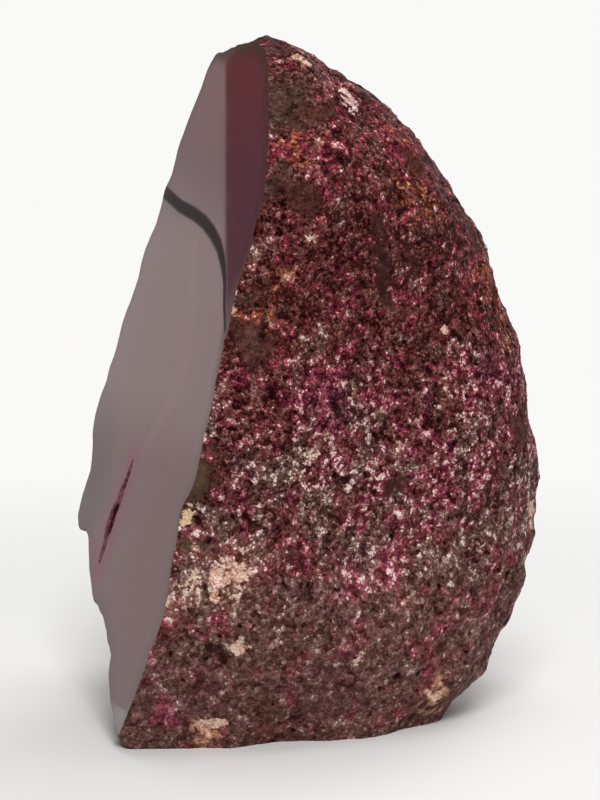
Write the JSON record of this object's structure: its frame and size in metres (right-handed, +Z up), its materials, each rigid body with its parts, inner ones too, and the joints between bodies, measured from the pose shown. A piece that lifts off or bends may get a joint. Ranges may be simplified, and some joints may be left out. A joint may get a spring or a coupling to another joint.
{
  "type": "agate geode",
  "caption": "Half of an agate nodule standing on a flat sawn base: one polished face that leans back, a rough natural rind, and a narrow slit lined with small crystals.",
  "frame": {"origin": "centre of the model's box, on the flat sawn base", "axes": "+Z up, the polished face looks along -Y and leans back 13 degrees, +X to the right of someone who faces it"},
  "size_m": [0.0866, 0.0924, 0.1311],
  "materials": {
    "stone": "dyed agate: polished on the front, rough granular rind elsewhere",
    "crystals": "small glossy magenta crystal points"
  },
  "bodies": {
    "root": {"agate_stone": "stone", "druzy_crystals": "crystals"}
  },
  "joints": []
}
